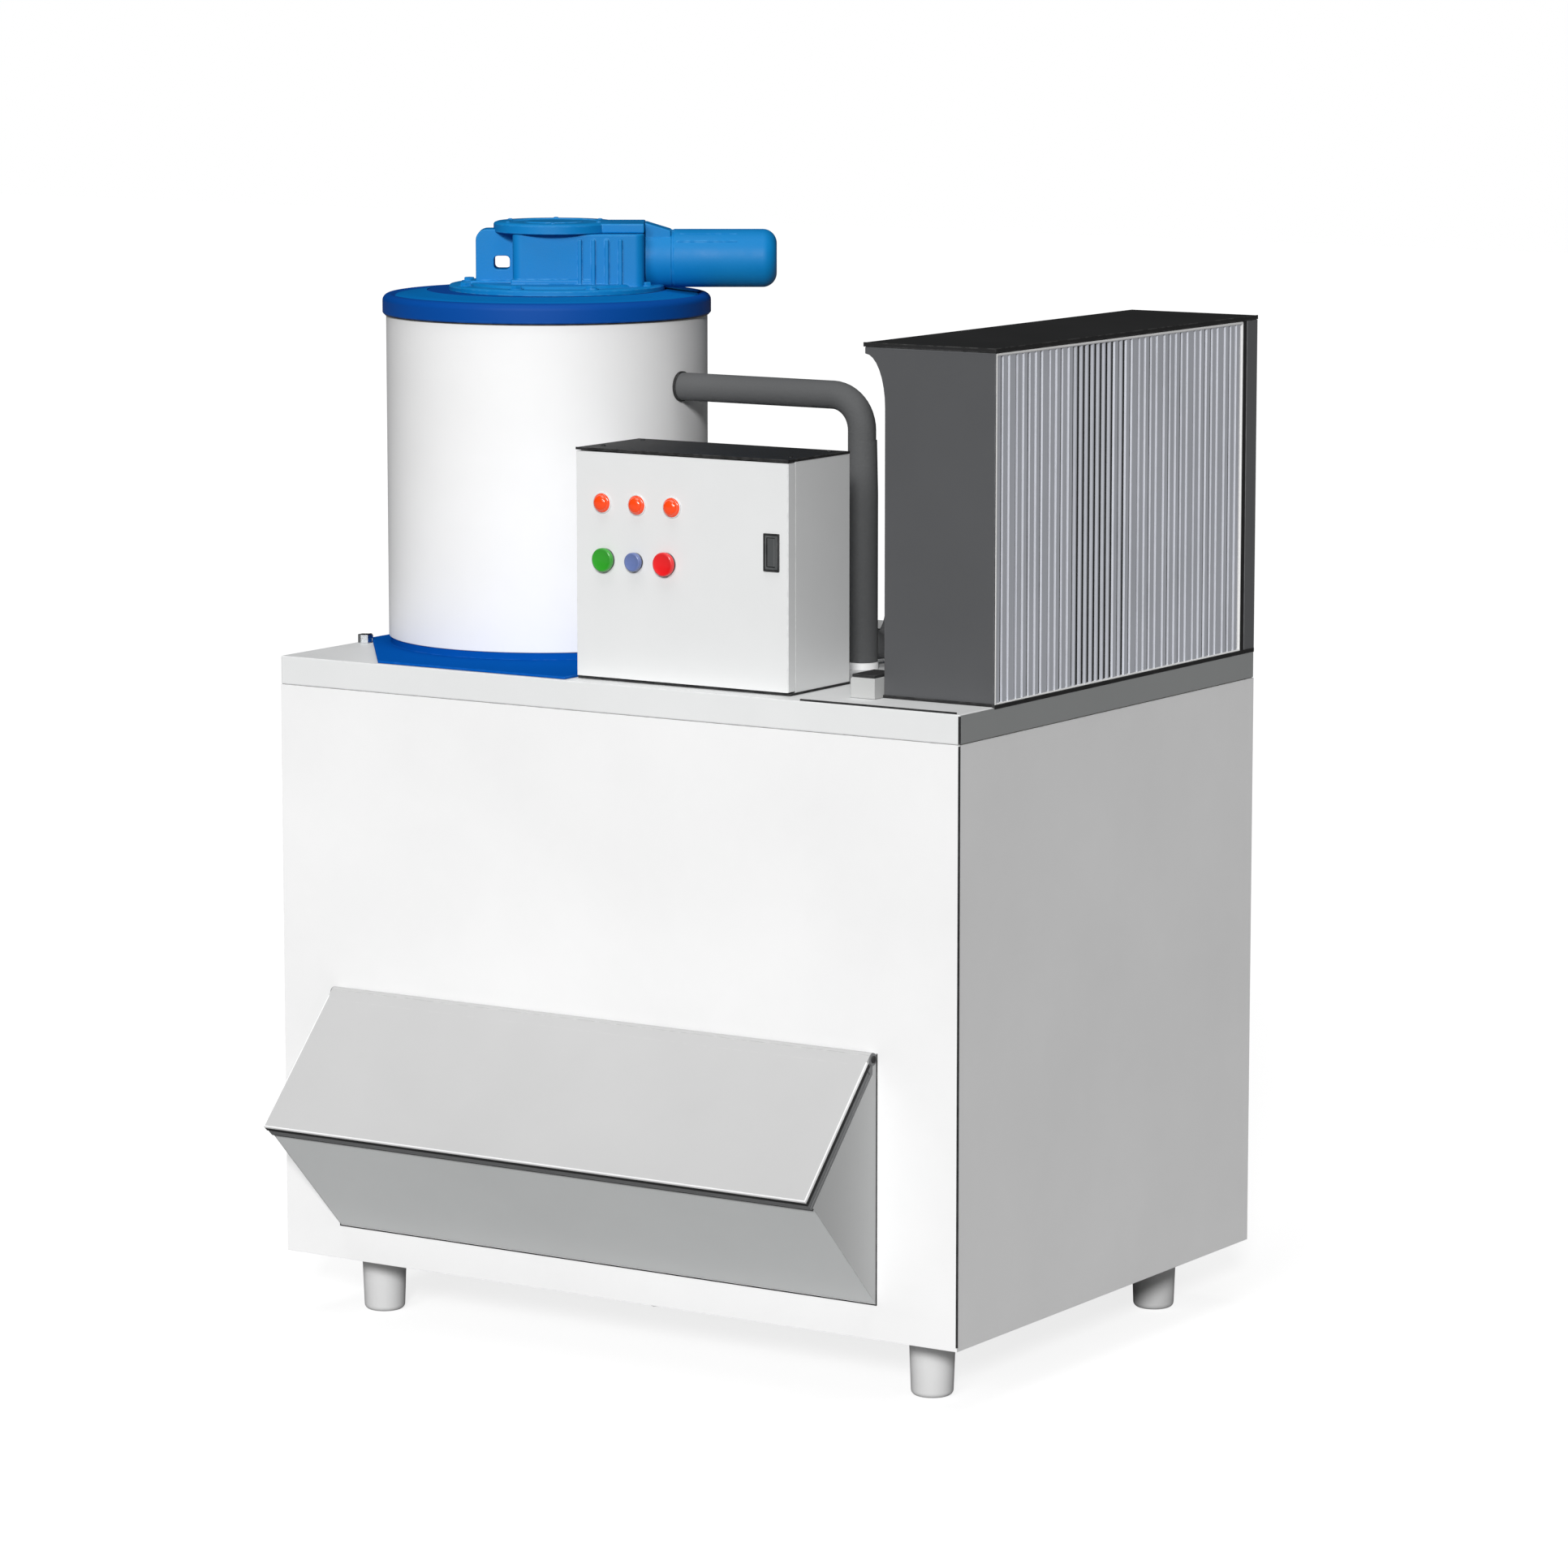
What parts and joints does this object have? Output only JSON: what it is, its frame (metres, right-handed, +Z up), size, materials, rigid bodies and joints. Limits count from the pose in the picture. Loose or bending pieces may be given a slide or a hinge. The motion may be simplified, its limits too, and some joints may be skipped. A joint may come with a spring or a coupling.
{
  "type": "flake ice maker",
  "caption": "Insulated ice bin with a sloping front hopper; on its deck an ice drum with a geared motor, a control box and an air-cooled condensing unit.",
  "frame": {"origin": "on the floor under the feet, in the middle of the whole footprint, hopper included", "axes": "+X to the right as seen from the hopper side, -Y to the front where the hopper is, +Z up"},
  "size_m": [1, 0.878, 1.3823],
  "materials": {
    "white_panel": "satin white paint",
    "pale_panel": "satin pale grey paint",
    "deck_panel": "satin pale grey paint",
    "lid_panel": "satin light grey paint",
    "grey_panel": "satin grey paint",
    "trim_panel": "satin mid-grey paint",
    "leg_plastic": "satin",
    "block_plastic": "matt",
    "steel": "brushed",
    "foam": "cellular",
    "rubber": "matt",
    "deep_blue": "gloss paint",
    "bright_blue": "gloss paint",
    "dark_panel": "satin paint",
    "black_metal": "satin paint",
    "black_plastic": "satin",
    "grey_plastic": "satin",
    "pipe_foam": "closed-cell foam",
    "fins": "mill",
    "copper": null,
    "lamp_red": "clear gloss",
    "button_green": "gloss",
    "button_blue": "gloss",
    "button_red": "gloss",
    "water_plastic": "satin"
  },
  "bodies": {
    "cabinet": {"bin_outer_shell": "white_panel", "drum_skin": "white_panel", "deck_tray": "deck_panel", "throat_frame": "pale_panel", "control_box": "pale_panel", "coil_frame": "pale_panel", "contactor": "pale_panel", "hopper_trough": "grey_panel", "leg_front_left": "leg_plastic", "leg_front_right": "leg_plastic", "leg_rear_left": "leg_plastic", "leg_rear_right": "leg_plastic", "support_block": "block_plastic", "bin_liner": "steel", "lid_hinge_rod": "steel", "evaporator_cylinder": "steel", "lower_spider": "steel", "door_hinge_rod": "steel", "component_plate": "trim_panel", "water_inlet_valve": "steel", "bin_foam": "foam", "drum_insulation": "foam", "support_block_pad": "rubber", "evaporator_base": "deep_blue", "drum_cap": "deep_blue", "gear_housing": "bright_blue", "gear_cover": "bright_blue", "motor_housing": "bright_blue", "condenser_front_plate": "dark_panel", "condenser_rear_cover": "dark_panel", "fan_shroud": "dark_panel", "condenser_top_plate": "black_metal", "control_box_top": "black_metal", "compressor": "black_metal", "liquid_receiver": "black_metal", "fan_motor": "black_metal", "circulation_pump": "black_plastic", "suction_pipe": "pipe_foam", "suction_collar": "pipe_foam", "fin_pack": "fins", "discharge_line": "copper", "liquid_line": "copper", "drain_fitting": "water_plastic", "water_gutter": "water_plastic", "water_tank": "water_plastic"},
    "lid": {"hopper_lid": "lid_panel", "lid_gasket": "rubber"},
    "door": {"control_door": "pale_panel", "lamp_1": "lamp_red", "lamp_2": "lamp_red", "lamp_3": "lamp_red", "door_latch_frame": "grey_plastic"},
    "paddle": {"door_latch_paddle": "grey_plastic"},
    "start_push": {"start_button": "button_green"},
    "reset_push": {"reset_button": "button_blue"},
    "stop_push": {"stop_button": "button_red"},
    "spindle": {"main_shaft": "steel", "ice_blade": "steel", "water_pan": "water_plastic"},
    "fan": {"fan_blades": "grey_plastic"}
  },
  "joints": [
    {"name": "lid_hinge", "type": "hinge", "parent": "cabinet", "child": "lid", "pos_m": [0, -0.29, 0.4265], "axis": [-1, 0, 0], "range_deg": [0, 120]},
    {"name": "door_hinge", "type": "hinge", "parent": "cabinet", "child": "door", "pos_m": [-0.0565, -0.249, 0.99], "axis": [0, 0, -1], "range_deg": [0, 100]},
    {"name": "latch_pivot", "type": "hinge", "parent": "door", "child": "paddle", "pos_m": [0.2259, -0.2577, 1.0202], "axis": [0, 0, 1], "range_deg": [0, 70], "stiffness_Nm_per_rad": 0.05, "springref_deg": -11.46},
    {"name": "start_press", "type": "slide", "parent": "door", "child": "start_push", "axis": [0, 1, 0], "range_m": [0, 0.0025], "stiffness_N_per_m": 800, "springref_m": -0.002},
    {"name": "reset_press", "type": "slide", "parent": "door", "child": "reset_push", "axis": [0, 1, 0], "range_m": [0, 0.0025], "stiffness_N_per_m": 800, "springref_m": -0.002},
    {"name": "stop_press", "type": "slide", "parent": "door", "child": "stop_push", "axis": [0, 1, 0], "range_m": [0, 0.0025], "stiffness_N_per_m": 800, "springref_m": -0.002},
    {"name": "spindle_turn", "type": "hinge", "parent": "cabinet", "child": "spindle", "pos_m": [-0.291, 0.009, 1.05], "axis": [0, 0, 1], "continuous": true},
    {"name": "fan_turn", "type": "hinge", "parent": "cabinet", "child": "fan", "pos_m": [0.37, 0.10565, 1.038], "axis": [1, 0, 0], "continuous": true}
  ]
}
